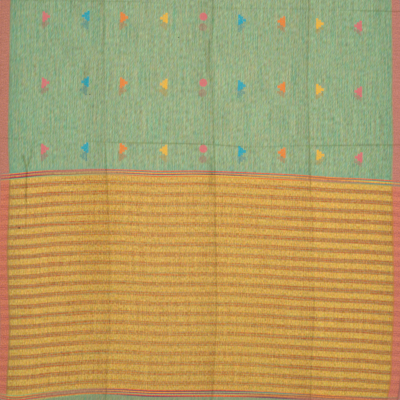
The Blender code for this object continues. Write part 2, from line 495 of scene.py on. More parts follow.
# The studio, in metres
FLOOR_HALF_WIDTH = 20.0
FLOOR_LEVEL = -0.0001
FLOOR_SURFACE = {"Roughness": 0.95, "Specular IOR Level": 0.1}
FLOOR_MOTTLING = (("Scale", 3.0), ("Detail", 3.0))
FLOOR_DARKEST, FLOOR_LIGHTEST = 0.98, 1.02
LOW_LIGHT_FROM = (-3.7, 0.6, 1.6)
LOW_LIGHT_DEGREES = 20.0
LOW_LIGHT_COLOUR = (0.90, 1.0, 1.12)
OVERHEAD_LIGHT_AT = (0.075, 0.24, 1.45)
OVERHEAD_LIGHT_ACROSS = 1.0
OVERHEAD_LIGHT_COLOUR = (1.03, 1.0, 0.95)
FILL_COLOUR = (0.96, 0.98, 1.0, 1.0)
FRAMED_MIDDLE = (-0.0009, -0.0015, 0.009)

Station = namedtuple("Station", "b level run_y run_z slip cloth")
OnCloth = namedtuple("OnCloth", "across along edge right in_border in_panel phase")


class SariSizes(bpy.types.PropertyGroup):
    """Sizes of the cloth and of the way it is folded."""

    loom_width: FloatProperty(
        name="Loom width",
        description="Width of the cloth, from selvedge to selvedge",
        default=1.150,
        unit="LENGTH",
    )
    cloth_length: FloatProperty(
        name="Cloth length",
        description="Length of the whole sari, unfolded",
        default=5.50,
        unit="LENGTH",
    )
    layer_length: FloatProperty(
        name="Layer length",
        description="Length of one folded layer",
        default=1.3765,
        unit="LENGTH",
    )
    sheet: FloatProperty(
        name="Sheet",
        description="Thickness of the cloth",
        default=0.0007,
        unit="LENGTH",
    )
    pitch: FloatProperty(
        name="Layer pitch",
        description="Height from the middle of one layer to the middle of the next",
        default=0.0019,
        unit="LENGTH",
    )
    layers: IntProperty(
        name="Layers",
        description="Number of folded layers",
        default=4,
    )


class SariColours(bpy.types.PropertyGroup):
    """Colours of the yarns as they look in the woven cloth."""

    field: FloatVectorProperty(
        name="Field",
        description="Green of the field",
        default=(0.318, 0.419, 0.221),
        subtype="COLOR",
    )
    panel: FloatVectorProperty(
        name="End panel",
        description="Yellow of the end panel",
        default=(0.688, 0.396, 0.079),
        subtype="COLOR",
    )
    rust: FloatVectorProperty(
        name="Rust threads",
        description="What the stripes' rust threads leave of the panel's yellow",
        default=(0.830, 0.187, 0.150),
        subtype="COLOR",
    )
    grey: FloatVectorProperty(
        name="Grey threads",
        description="What the threads between the rust ones leave of the panel's yellow",
        default=(0.540, 0.690, 1.280),
        subtype="COLOR",
    )
    hem: FloatVectorProperty(
        name="Hem strip",
        description="Grey green of the strip between the last band and the hem",
        default=(0.365, 0.342, 0.129),
        subtype="COLOR",
    )
    border_field: FloatVectorProperty(
        name="Border by the field",
        description="Coral of the borders where green weft crosses it",
        default=(0.585, 0.216, 0.153),
        subtype="COLOR",
    )
    border_panel: FloatVectorProperty(
        name="Border by the panel",
        description="Coral of the borders where yellow weft crosses it",
        default=(0.735, 0.220, 0.116),
        subtype="COLOR",
    )
    pink: FloatVectorProperty(
        name="Pink motifs",
        description="Inlaid pink thread",
        default=(0.783, 0.163, 0.177),
        subtype="COLOR",
    )
    blue: FloatVectorProperty(
        name="Blue motifs",
        description="Inlaid blue thread",
        default=(0.000, 0.381, 0.482),
        subtype="COLOR",
    )
    orange: FloatVectorProperty(
        name="Orange motifs",
        description="Inlaid orange thread",
        default=(0.924, 0.225, 0.026),
        subtype="COLOR",
    )
    yellow: FloatVectorProperty(
        name="Yellow motifs",
        description="Inlaid yellow thread",
        default=(0.926, 0.475, 0.040),
        subtype="COLOR",
    )


class StudioSettings(bpy.types.PropertyGroup):
    """The floor, the lights and the camera's frame."""

    floor_colour: FloatVectorProperty(
        name="Floor",
        description="Colour of the studio floor",
        default=(0.74, 0.73, 0.71),
        subtype="COLOR",
    )
    low_light: FloatProperty(
        name="Low light",
        description="Strength of the low, even light from the left",
        default=2.2,
    )
    overhead_light: FloatProperty(
        name="Overhead light",
        description="Power of the soft light above",
        default=9.8,
        unit="POWER",
    )
    fill_light: FloatProperty(
        name="Fill",
        description="Strength of the even light from all round",
        default=0.315,
    )
    backdrop: FloatProperty(
        name="Backdrop",
        description="Brightness of the plain backdrop behind the floor",
        default=0.62,
    )
    framed_width: FloatProperty(
        name="Framed width",
        description="Width that the camera's frame takes in",
        default=1.150,
        unit="LENGTH",
    )
    lens: FloatProperty(
        name="Lens",
        description="Focal length of the camera",
        default=85.0,
        unit="CAMERA",
    )


def columns_of(table, skip=0):
    """The columns of a table as arrays, without its first few."""
    return [np.array(column, float) for column in list(zip(*table))[skip:]]


def curve_through(places, values, at):
    """A smooth curve through a table's points, read at some places."""
    at = np.clip(at, places[0], places[-1])
    slopes = np.gradient(values, places)
    i = np.clip(np.searchsorted(places, at, side="right") - 1, 0, len(places) - 2)
    span = places[i + 1] - places[i]
    t = (at - places[i]) / span
    start = (1 + 2 * t) * (1 - t) ** 2 * values[i] + t * (1 - t) ** 2 * span * slopes[i]
    end = t * t * (3 - 2 * t) * values[i + 1] - t * t * (1 - t) * span * slopes[i + 1]
    return start + end


def selvedge_places(y, width):
    """Where the two selvedges stand at y."""
    along, left, right = columns_of(SELVEDGES)
    return -width / 2 - curve_through(along, left, y), width / 2 + curve_through(along, right, y)


def weft_bow(x, y):
    """How far the weft at x stands past a straight line, at y along the cloth."""
    across, *bows = columns_of(WEFT_BOW)
    stood = [curve_through(across, bow, x) for bow in bows]
    result = stood[0]
    for i in range(len(stood) - 1):
        low, high = WEFT_BOW_AT[i], WEFT_BOW_AT[i + 1]
        share = np.clip((y - low) / (high - low), 0.0, 1.0)
        result = result + share * (stood[i + 1] - stood[i])
    return result


def between(knots, nominal):
    """Values known at a few nominal places, interpolated for each point of a grid."""
    places = np.array([place for place, _ in knots])
    values = np.stack([np.broadcast_to(value, nominal.shape) for _, value in knots])
    i = np.clip(np.searchsorted(places, nominal, side="right") - 1, 0, len(places) - 2)
    share = (nominal - places[i]) / (places[i + 1] - places[i])
    low = np.take_along_axis(values, i[None], axis=0)[0]
    high = np.take_along_axis(values, i[None] + 1, axis=0)[0]
    return low + share * (high - low)


def crease_rows(relief_rows):
    return [place for name, place, _ in relief_rows if name.endswith("crease")]


def plan_of_grid(a, b, width, length):
    """Where the grid's points lie on the floor plan, so that its lines follow the creases."""
    along, *lengthwise = columns_of(LENGTHWISE_CREASES)
    across, *crosswise = columns_of(CROSSWISE_CREASES)
    left, right = selvedge_places(b, width)
    wander = [(-width / 2, left + width / 2)]
    for nominal, places in zip(crease_rows(RELIEF_ACROSS), lengthwise[::2]):
        wander.append((nominal, curve_through(along, places, b) - nominal))
    wander.append((width / 2, right - width / 2))
    x = a + between(wander, a)
    drift = [(0.0, weft_bow(x, 0.0))]
    for nominal, places in zip(crease_rows(RELIEF_ALONG), crosswise[::2]):
        drift.append((nominal, curve_through(across, places, x) - nominal))
    drift.append((length, weft_bow(x, length)))
    return x, b + between(drift, b)


def on_cloth(x, y, width):
    """Where points of the floor plan lie on the cloth: across from its middle, and along it."""
    left, right = selvedge_places(y, width)
    across = (x - left) / (right - left) * width - width / 2
    along = y - weft_bow(across, y)
    return across, y - weft_bow(across, along)


def trough(distance, half_width):
    """The cross-section of a crease, from 1 in its middle to 0 at its edges."""
    return np.clip(1.0 - np.abs(distance) / half_width, 0.0, 1.0)


def distance_to_run(x, y, places):
    """Distance from each point to a run of straight stretches."""
    nearest = np.full(x.shape, np.inf)
    for (x0, y0), (x1, y1) in zip(places, places[1:]):
        run_x, run_y = x1 - x0, y1 - y0
        share = ((x - x0) * run_x + (y - y0) * run_y) / (run_x**2 + run_y**2)
        share = np.clip(share, 0.0, 1.0)
        nearest = np.minimum(nearest, np.hypot(x - x0 - share * run_x, y - y0 - share * run_y))
    return nearest


def pressed_in(a, b, x, y, half_width):
    """How deep each point lies in a crease of some width, from 0 to 1."""
    along, *lengthwise = columns_of(LENGTHWISE_CREASES)
    across, *crosswise = columns_of(CROSSWISE_CREASES)
    deepest = np.zeros(x.shape)
    for nominal, pressed in zip(crease_rows(RELIEF_ACROSS), lengthwise[1::2]):
        depth = trough(a - nominal, half_width) * curve_through(along, pressed, b)
        deepest = np.maximum(deepest, depth)
    for nominal, pressed in zip(crease_rows(RELIEF_ALONG), crosswise[1::2]):
        narrow = trough(b - nominal, CROSSWISE_NARROWER * half_width)
        depth = CROSSWISE_SHALLOWER * narrow * curve_through(across, pressed, x)
        deepest = np.maximum(deepest, depth)
    for _, pressed, places in SHORT_CREASES:
        depth = pressed * trough(distance_to_run(x, y, places), half_width)
        deepest = np.maximum(deepest, depth)
    return deepest


def between_creases(place, relief_rows):
    """Height of the relief: a slow climb out of each crease, and a drop into the next one."""
    names = [name for name, _, _ in relief_rows]
    places, heights = columns_of(relief_rows, skip=1)
    i = np.clip(np.searchsorted(places, place, side="right") - 1, 0, len(places) - 2)
    t = np.clip((place - places[i]) / (places[i + 1] - places[i]), 0.0, 1.0)
    to_rise = np.array([name.endswith("rise") for name in names])[i + 1]
    eased = np.where(to_rise, 1 - (1 - t) ** CLIMB_POWER, t**DROP_POWER)
    return heights[i] + eased * (heights[i + 1] - heights[i])


def rippled(x, y):
    """Small waves of the cloth, the same on every run."""
    height = np.zeros(x.shape)
    for index, (_, wavelength, tall) in enumerate(RIPPLES):
        flat = np.array([
            noise.noise(Vector((px / wavelength, py / wavelength, RIPPLE_SEED_STEP * index)))
            for px, py in zip(x.ravel(), y.ravel())
        ])
        height += tall * flat.reshape(x.shape)
    return height


def relief(a, b, x, y, length):
    """How far each point of the top layer stands up from a flat one."""
    from_end = np.minimum(b, length - b)
    laid = np.clip(from_end / LIES_DOWN_WITHIN, 0.0, 1.0)
    laid = laid * laid * (3 - 2 * laid)
    stood = between_creases(a, RELIEF_ACROSS) + between_creases(b, RELIEF_ALONG)
    groove = GROOVE_DEPTH * pressed_in(a, b, x, y, GROOVE_HALF_WIDTH)
    return laid * (stood + rippled(x, y)) + GROOVE_LIFT - groove


def spaced(low, high, fixed, step):
    """Places from low to high that keep the fixed ones, the others about a step apart."""
    fixed = sorted({low, high} | {place for place in fixed if low < place < high})
    places = []
    for start, end in zip(fixed, fixed[1:]):
        count = max(1, round((end - start) / step))
        places += list(np.linspace(start, end, count, endpoint=False))
    return places + [high]


def slip_of(layer, y):
    """How far a layer has slid across the cloth at y."""
    along, *slips = columns_of(SLIPS)
    return float(np.interp(y, along, slips[layer]))


def section(sizes):
    """The middle line of the folded cloth, from the end panel's hem to the inner end."""
    length, pitch = sizes.layer_length / MM, sizes.pitch / MM
    line = []
    cloth = 0.0
    for layer in range(sizes.layers):
        start, end = (share * length + beyond for _, share, beyond in TURNS[layer : layer + 2])
        heading = 1.0 if end > start else -1.0
        start += heading * pitch / 2 * (layer > 0)
        end -= heading * pitch / 2 * (layer < sizes.layers - 1)
        level = (sizes.layers - 1 - layer) * pitch
        fixed = [c + beside for c in crease_rows(RELIEF_ALONG) for beside in BESIDE_CROSSWISE]
        low, high = sorted((start, end))
        step = GRID_ALONG_TOP if layer == 0 else GRID_ALONG_BELOW
        for b in spaced(low, high, fixed if layer == 0 else (), step)[:: int(heading)]:
            line.append(Station(b, level, heading, 0.0, slip_of(layer, b), cloth + abs(b - start)))
        cloth += abs(end - start)
        if layer < sizes.layers - 1:
            line += turned_down(line[-1], slip_of(layer, end), cloth, pitch)
            cloth += math.pi * pitch / 2
    return line


def turned_down(last, slip, cloth, pitch):
    """The half circle in which the cloth folds over to the layer below."""
    stations = []
    for angle in np.linspace(0.0, math.pi, TURN_STEPS + 1)[1:-1]:
        out = last.run_y * math.sin(angle) * pitch / 2
        down = (1.0 - math.cos(angle)) * pitch / 2
        run_y, run_z = last.run_y * math.cos(angle), -math.sin(angle)
        place = cloth + angle * pitch / 2
        stations.append(Station(last.b + out, last.level - down, run_y, run_z, slip, place))
    return stations


def sheet_points(sizes):
    """The sheet's two sides, with each point's place on the cloth and depth in a crease."""
    width, length = sizes.loom_width / MM, sizes.layer_length / MM
    thick, pitch = sizes.sheet / MM, sizes.pitch / MM
    beside = [c + off for c in crease_rows(RELIEF_ACROSS) for off in BESIDE_LENGTHWISE]
    across = np.array(spaced(-width / 2, width / 2, beside + list(BESIDE_SHORT), GRID_ACROSS))
    line = section(sizes)
    b, level, run_y, run_z, slip, cloth = (np.array(c)[:, None] for c in zip(*line))
    a = np.broadcast_to(across, (len(line), len(across)))
    b = np.broadcast_to(b, a.shape)
    x, y = plan_of_grid(a, b, width, length)
    cloth_across, cloth_along = on_cloth(x, y, width)
    cloth_along = cloth + run_y * (cloth_along - b)
    # The wider lines of painted crease shade, with the folds' duller colour
    pressed = pressed_in(a, b, x, y, CREASE_SHADE_LINE_HALF_WIDTH)
    top = (sizes.layers - 1) * pitch
    z = thick / 2 + level + level / top * relief(a, b, x, y, length)
    sides = [
        np.stack([x + slip, y - run_z * offset, z + run_y * offset], axis=-1)
        for offset in (thick / 2, -thick / 2)
    ]
    return sides, cloth_across + width / 2, cloth_along, pressed


def grid_faces(rows, columns):
    """Faces of a closed sheet: its two sides, then the strips along its edges."""
    on_side = rows * columns
    index = np.arange(on_side).reshape(rows, columns)
    other = index + on_side
    quads = [
        np.stack([g[:-1, :-1], g[:-1, 1:], g[1:, 1:], g[1:, :-1]], axis=-1).reshape(-1, 4)
        for g in (index, other[:, ::-1])
    ]
    rim = np.concatenate([index[0, :], index[1:, -1], index[-1, -2::-1], index[-2:0:-1, 0]])
    following = np.roll(rim, -1)
    quads.append(np.stack([following, rim, rim + on_side, following + on_side], axis=-1))
    return np.concatenate(quads)


def add_attribute(mesh, name, values):
    attribute = mesh.attributes.new(name, "FLOAT", "POINT")
    attribute.data.foreach_set("value", np.tile(values.ravel(), 2).astype(np.float32))


def cloth_mesh(name, sizes):
    """The folded sheet as one closed mesh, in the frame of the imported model."""
    sides, across, along, pressed = sheet_points(sizes)
    rows, columns = across.shape
    points = np.concatenate([side.reshape(-1, 3) for side in sides]) * MM
    faces = grid_faces(rows, columns)
    middle = (points.min(axis=0) + points.max(axis=0)) / 2
    solid_middle = (np.array(SOLID_LOW) + np.array(SOLID_HIGH)) / 2
    points[:, :2] += (solid_middle - middle)[:2]
    mesh = bpy.data.meshes.new(name)
    mesh.from_pydata(points.tolist(), [], faces.tolist())
    on_cloth_map = mesh.uv_layers.new(name="cloth")
    corners = faces.ravel()
    places = np.stack([np.tile(across.ravel(), 2), np.tile(along.ravel(), 2)], axis=-1) * MM
    on_cloth_map.data.foreach_set("uv", places[corners].astype(np.float32).ravel())
    # How deep each point lies in a crease's painted line of shade and duller colour
    add_attribute(mesh, "pressed", pressed)
    from_middle = across - sizes.loom_width / MM / 2
    motifs_at, aside, stands = columns_of(SHOWN_THROUGH)
    add_attribute(mesh, "beneath_across", curve_through(motifs_at, aside, from_middle))
    add_attribute(mesh, "beneath_along", curve_through(motifs_at, stands, from_middle))
    mesh.shade_smooth()
    mesh.set_sharp_from_angle(angle=math.radians(SHARP_EDGE_DEGREES))
    mesh.update()
    return mesh


class Weave:
    """Adds the nodes of a woven pattern to a material, one sum or mixture at a time."""

    def __init__(self, material):
        material.use_nodes = True
        self.tree = material.node_tree
        self.surface = self.tree.nodes["Principled BSDF"]

    def add(self, kind, inputs=(), **settings):
        """A node with its settings, its inputs linked to sockets or set to values."""
        node = self.tree.nodes.new(kind)
        for name, value in settings.items():
            setattr(node, name, value)
        for key, value in inputs:
            self.put(node.inputs[key], value)
        return node

    def put(self, socket, value):
        if isinstance(value, bpy.types.NodeSocket):
            self.tree.links.new(value, socket)
        elif hasattr(value, "__len__") and len(value) == 3 and socket.type == "RGBA":
            socket.default_value = (*value, 1.0)
        else:
            socket.default_value = value

    def finish(self, colour, settings):
        """Gives the surface its colour, and sets what is the same all over it."""
        self.put(self.surface.inputs["Base Color"], colour)
        for name, value in settings.items():
            self.surface.inputs[name].default_value = value

    def sum(self, operation, *values):
        node = self.add("ShaderNodeMath", enumerate(values), operation=operation)
        return node.outputs["Value"]

    def plus(self, a, b):
        return self.sum("ADD", a, b)

    def times(self, a, b):
        return self.sum("MULTIPLY", a, b)

    def from_to(self, share, start, end):
        """A number that goes from start to end as its share goes from 0 to 1."""
        return self.sum("MULTIPLY_ADD", share, end - start, start)

    def step(self, value, start, end):
        """0 before start and 1 after end, or the other way round where start is larger."""
        inputs = (("Value", value), ("From Min", start), ("From Max", end))
        return self.add("ShaderNodeMapRange", inputs, clamp=True).outputs["Result"]

    def soft_step(self, value, start, end):
        inputs = (("Value", value), ("From Min", start), ("From Max", end))
        node = self.add("ShaderNodeMapRange", inputs, interpolation_type="SMOOTHSTEP")
        return node.outputs["Result"]

    def inside(self, value, low, high, soft):
        """1 between low and high, with soft edges."""
        half = soft / 2
        rising = self.step(value, low - half, low + half)
        return self.times(rising, self.step(value, high + half, high - half))

    def spot(self, aside, off, radius, soft):
        """1 within a radius of a point, with a soft edge."""
        away = self.sum("SQRT", self.plus(self.times(aside, aside), self.times(off, off)))
        return self.step(away, radius + soft, radius - soft)

    def from_nearest(self, value, first, pitch):
        """How far a place lies past the nearest of a row of places, a pitch apart."""
        moved = self.plus(value, pitch / 2 - first)
        return self.plus(self.sum("FLOORED_MODULO", moved, pitch), -pitch / 2)

    def mixed(self, factor, a, b):
        node = self.add("ShaderNodeMix", data_type="RGBA")
        sockets = [s for s in node.inputs if s.enabled]
        for socket, value in zip(sockets, (factor, a, b)):
            self.put(socket, value)
        return next(s for s in node.outputs if s.enabled)

    def blended(self, a, b):
        """Two colours multiplied."""
        node = self.add("ShaderNodeVectorMath", ((0, a), (1, b)), operation="MULTIPLY")
        return node.outputs["Vector"]

    def tinted(self, colour, factor, tint):
        """A colour that a tint dims, as far as the factor says."""
        return self.blended(colour, self.mixed(factor, WHITE, tint))

    def ramp(self, value, stops):
        """Constant colours, each from its stop to the next. A stop is a place and a colour."""
        node = self.add("ShaderNodeValToRGB", ((0, value),))
        node.color_ramp.interpolation = "CONSTANT"
        elements = node.color_ramp.elements
        elements.remove(elements[1])
        for place, colour in stops[1:]:
            elements.new(place).color = colour
        elements[0].position, elements[0].color = stops[0]
        return node.outputs

    def parts(self, colour):
        """The red, the green and the blue of a colour."""
        return self.add("ShaderNodeSeparateColor", ((0, colour),)).outputs[:3]

    def colour(self, red, green, blue):
        inputs = enumerate((red, green, blue))
        return self.add("ShaderNodeCombineColor", inputs).outputs["Color"]

    def attribute(self, name):
        return self.add("ShaderNodeAttribute", attribute_name=name).outputs["Fac"]

    def streaks(self, cloth, wide, tall, seed, detail, slant):
        """Uneven yarn: noise between about -1 and 1, in streaks of a width and a length."""
        leaned = self.plus(cloth.across, self.times(cloth.along, slant)) if slant else cloth.across
        moved_u, moved_v = (step * seed for step in SEED_STEPS)
        u = self.sum("MULTIPLY_ADD", leaned, 1.0 / wide, moved_u)
        v = self.sum("MULTIPLY_ADD", cloth.along, 1.0 / tall, moved_v)
        place = self.add("ShaderNodeCombineXYZ", enumerate((u, v))).outputs["Vector"]
        inputs = (
            ("Vector", place),
            ("Scale", 1.0),
            ("Detail", detail),
            ("Roughness", STREAK_ROUGHNESS),
        )
        node = self.add("ShaderNodeTexNoise", inputs, noise_dimensions="2D")
        return self.from_to(node.outputs["Fac"], -STREAK_RANGE, STREAK_RANGE)

    def yarns(self, cloth, table):
        """The noise of each yarn in a table, with what it adds to the light, red and blue."""
        return [
            (self.streaks(cloth, wide, tall, seed, detail, slant), *shares)
            for _, wide, tall, seed, detail, slant, *shares in table
        ]

    def uneven(self, terms):
        """A factor for a colour. A term is a value and what it adds to the light, red and blue."""
        totals = [1.0, 0.0, 0.0]
        for value, *shares in terms:
            for i, share in enumerate(shares):
                if share:
                    totals[i] = self.sum("MULTIPLY_ADD", value, share, totals[i])
        light, red, blue = totals
        return self.colour(self.plus(light, red), light, self.plus(light, blue))


def place_on_cloth(w, width):
    """Nodes for where a spot lies on the cloth."""
    on_cloth = w.add("ShaderNodeUVMap", uv_map="cloth").outputs["UV"]
    split = w.add("ShaderNodeSeparateXYZ", ((0, on_cloth),))
    across = w.sum("MULTIPLY_ADD", split.outputs["X"], 1.0 / MM, -width / 2)
    along = w.times(split.outputs["Y"], 1.0 / MM)
    edge = w.plus(w.times(w.sum("ABSOLUTE", across), -1.0), width / 2)
    return OnCloth(
        across,
        along,
        edge,
        right=w.step(across, -EDGE_SOFT, EDGE_SOFT),
        in_border=w.step(edge, BORDER_WIDTH + EDGE_SOFT, BORDER_WIDTH - EDGE_SOFT),
        in_panel=w.inside(along, PANEL_NEAR, PANEL_FAR, PANEL_SOFT),
        phase=w.from_nearest(along, STRIPE_FIRST, STRIPE_PITCH),
    )


def field_colour(w, cloth, colours):
    """The green field, whose warp and weft differ from yarn to yarn."""
    from_middle = w.sum("ABSOLUTE", w.plus(cloth.across, -FIELD_MIDDLE))
    sides = (w.soft_step(from_middle, *FIELD_SIDES), *FIELD_SIDES_TINT)
    in_hem = w.soft_step(cloth.along, *HEM_STRIP)
    plain = w.mixed(in_hem, tuple(colours.field), tuple(colours.hem))
    green = w.blended(plain, w.uneven(w.yarns(cloth, FIELD_YARNS) + [sides]))
    by_band = w.times(w.step(cloth.along, *TEAL_BY_BAND), TEAL_BY_BAND_SHARE)
    by_border = w.times(w.step(cloth.edge, *TEAL_BY_BORDER), TEAL_BY_BORDER_SHARE)
    return w.mixed(w.sum("MAXIMUM", by_band, by_border), green, TEAL_FRINGE)


def motif_column(w, across, width, colours, darker):
    """The yarn of the nearest column of motifs, and nodes for where and how they stand."""
    share = w.sum("MULTIPLY_ADD", across, 1.0 / width, 0.5)
    places = [x for x, _, _, _ in MOTIF_COLUMNS]
    starts = [0.0] + [(a + b) / 2 / width + 0.5 for a, b in zip(places, places[1:])]
    yarns, notes = [], []
    for start, (x, stands, name, pointing) in zip(starts, MOTIF_COLUMNS):
        yarns.append((start, (*(c * darker for c in getattr(colours, name)), 1.0)))
        noted_stand = stands / 2 / MOTIF_STANDS_WITHIN + 0.5
        note = (x / width + 0.5, pointing / 2 + 0.5, float(pointing == 0), noted_stand)
        notes.append((start, note))
    yarn = w.ramp(share, yarns)["Color"]
    note = w.ramp(share, notes)
    x, pointing, is_round = w.parts(note["Color"])
    aside = w.times(w.plus(share, w.times(x, -1.0)), width)
    turned = w.times(aside, w.from_to(pointing, -1.0, 1.0))
    stands = w.from_to(note["Alpha"], -MOTIF_STANDS_WITHIN, MOTIF_STANDS_WITHIN)
    return yarn, aside, turned, stands, is_round


def motif_shape(w, aside, turned, off_row, is_round):
    """1 on the inlaid thread of a motif, which is a stepped wedge or a disc."""
    block = w.sum("MULTIPLY_ADD", turned, 0.5 / MOTIF_REACH, 0.5)
    heights = [
        (start / 2 / MOTIF_REACH + 0.5, (half / MOTIF_REACH,) * 3 + (1.0,))
        for start, half in MOTIF_STEPS
    ]
    half = w.sum("MULTIPLY_ADD", w.ramp(block, heights)["Color"], MOTIF_REACH, -MOTIF_SOFT)
    wedge = w.step(w.sum("SUBTRACT", off_row, half), MOTIF_SOFT, 0.0)
    disc = w.spot(aside, off_row, DISC_RADIUS, MOTIF_SOFT)
    return w.plus(w.times(wedge, w.sum("SUBTRACT", 1.0, is_round)), w.times(disc, is_round))


def with_motifs(w, field, cloth, width, colours, strength, darker=1.0):
    """The field with its motifs, as inlaid or as they show through from the layer below."""
    yarn, aside, turned, stands, is_round = motif_column(w, cloth.across, width, colours, darker)
    in_row = w.from_nearest(cloth.along, MOTIF_FIRST, MOTIF_PITCH)
    off_row = w.sum("ABSOLUTE", w.sum("SUBTRACT", in_row, stands))
    shape = motif_shape(w, aside, turned, off_row, is_round)
    in_field = w.times(w.step(cloth.along, *MOTIFS_START), strength)
    return w.mixed(w.times(shape, in_field), field, yarn)


def with_all_motifs(w, field, cloth, width, colours):
    """The field with the motifs of the layer below, and its own over them."""
    threaded = w.streaks(cloth, *CROSSING_THREADS)
    below = cloth._replace(
        across=w.sum("SUBTRACT", cloth.across, w.attribute("beneath_across")),
        along=w.sum("SUBTRACT", cloth.along, w.attribute("beneath_along")),
    )
    through = w.sum("MULTIPLY_ADD", threaded, *SHOWN_STRENGTH)
    field = with_motifs(w, field, below, width, colours, through, SHOWN_DARKER)
    inlaid = w.sum("MULTIPLY_ADD", threaded, *INLAID_STRENGTH)
    return with_motifs(w, field, cloth, width, colours, inlaid)


def with_knots(w, body, cloth):
    """The few dark knots, as round spots."""
    spots = 0.0
    for x, y, radius in KNOTS:
        spot = w.spot(w.plus(cloth.across, -x), w.plus(cloth.along, -y), radius, KNOT_SOFT)
        spots = w.plus(spots, spot)
    return w.tinted(body, spots, KNOT_TINT)


def band_lines(w, cloth, into, upper):
    """The colour of the thin lines of the bands, at some way into the upper or the lower one."""
    lines = UPPER_BAND + LOWER_BAND
    first = w.from_to(upper, len(UPPER_BAND), 0)
    share = w.times(w.sum("MULTIPLY_ADD", into, 1.0 / BAND_LINE, first), 1.0 / len(lines))
    line = None
    for column, names in enumerate(zip(*lines)):
        stops = [(i / len(lines), (*BAND_YARNS[name], 1.0)) for i, name in enumerate(names)]
        yarn = w.ramp(share, stops)["Color"]
        if line is None:
            line = yarn
        else:
            past = w.soft_step(cloth.across, *BAND_LINES_AT[column - 1 : column + 1])
            line = w.mixed(past, line, yarn)
    return w.blended(line, w.uneven(w.yarns(cloth, BAND_WARP)))


def with_bands(w, body, cloth):
    """The two narrow bands of thin lines, the upper one with a teal fringe at its left end."""
    upper = w.step(cloth.along, *BETWEEN_BANDS)
    into = w.sum("SUBTRACT", w.from_to(upper, BAND_LOWER, BAND_UPPER), cloth.along)
    fringe = w.times(w.inside(into, *FRINGE_INTO), w.step(cloth.across, *FRINGE_ACROSS))
    body = w.mixed(w.times(fringe, w.times(upper, FRINGE_STRENGTH)), body, TEAL_FRINGE)
    line = band_lines(w, cloth, into, upper)
    wide = w.from_to(upper, BAND_LINE * len(LOWER_BAND), BAND_LINE * len(UPPER_BAND))
    begun, not_ended = (
        w.step(past, -BAND_SOFT, BAND_SOFT) for past in (into, w.sum("SUBTRACT", wide, into))
    )
    cover = w.from_to(cloth.in_border, *BAND_COVER)
    return w.mixed(w.times(w.times(begun, not_ended), cover), body, line)


def panel_yellow(w, cloth, from_centre, colours):
    """The yellow of the end panel, with its slow changes of colour, and painted shade left of the
    left crease.
    """
    ruddy_and_shaded = w.times(w.inside(cloth.across, *RUDDY_SHADE_ACROSS), w.step(cloth.along, *RUDDY_SHADE_ALONG))
    places = {
        "bright sides": w.soft_step(from_centre, *BRIGHT_SIDES),
        "ruddy_and_shaded": ruddy_and_shaded,
        "warm by the hem": w.step(cloth.along, *WARM_BY_HEM),
        "warm at the right": w.step(cloth.across, *WARM_AT_RIGHT),
        "cool": w.inside(cloth.across, *COOL_ACROSS),
    }
    patches = [(places[name], *shares) for name, *shares in PANEL_PATCHES]
    factor = w.uneven(w.yarns(cloth, PANEL_YARNS) + patches)
    return w.blended(tuple(colours.panel), factor)


def panel_colour(w, cloth, colours):
    """The end panel: yellow, with stripes of a few thin rust threads and grey ones between."""
    from_centre = w.sum("ABSOLUTE", w.plus(cloth.across, -PANEL_MIDDLE))
    yellow = panel_yellow(w, cloth, from_centre, colours)
    stripe = w.inside(cloth.phase, -STRIPE_HALF_WIDTH, STRIPE_HALF_WIDTH, STRIPE_SOFT)
    stripe = w.times(stripe, w.inside(cloth.along, *STRIPES_ALONG))
    drift = w.times(w.streaks(cloth, *STRIPE_DRIFT), STRIPE_DRIFT_REACH)
    turn = w.times(w.plus(cloth.phase, drift), 2.0 * math.pi / STRIPE_THREADS)
    outward = w.soft_step(from_centre, *STRIPES_CHANGE)
    swing = w.times(w.sum("COSINE", turn), w.from_to(outward, *STRIPE_SHARPNESS))
    broken = w.times(w.streaks(cloth, *BROKEN_THREADS), BROKEN_SHARE)
    rusty = w.plus(w.plus(swing, broken), w.from_to(outward, *STRIPE_RUSTINESS))
    threads = w.mixed(w.step(rusty, *GREY_TO_RUST), tuple(colours.grey), tuple(colours.rust))
    dashes = w.times(w.streaks(cloth, *DASHES), DASHES_SHARE)
    depth = w.times(stripe, w.plus(w.from_to(outward, *STRIPE_DEPTH), dashes))
    return w.tinted(yellow, depth, threads)


def border_colour(w, cloth, colours):
    """The coral borders, duller where the stripes' weft runs through them, with painted shade at
    the left and painted light at the right.
    """
    threads = w.sum("COSINE", w.times(cloth.phase, 2.0 * math.pi / STRIPE_THREADS))
    stripe = w.times(w.inside(cloth.phase, *BORDER_STRIPE), cloth.in_panel)
    dull = w.times(stripe, w.sum("MULTIPLY_ADD", threads, *BORDER_STRIPE_LIGHT))
    mottling = w.streaks(cloth, *BORDER_MOTTLING)
    mottled = w.times(mottling, w.from_to(cloth.in_panel, *BORDER_MOTTLING_SHARES))
    # 'to the right' is painted light and shade, lighter at the right border and darker at the left.
    places = {"dull": dull, "stripe": stripe, "mottled": mottled, "to the right": cloth.across}
    changes = [(places[name], *shares) for name, *shares in BORDER_CHANGES]
    ends = tuple(colours.border_field), tuple(colours.border_panel)
    factor = w.uneven(w.yarns(cloth, BORDER_YARNS) + changes)
    return w.blended(w.mixed(cloth.in_panel, *ends), factor)


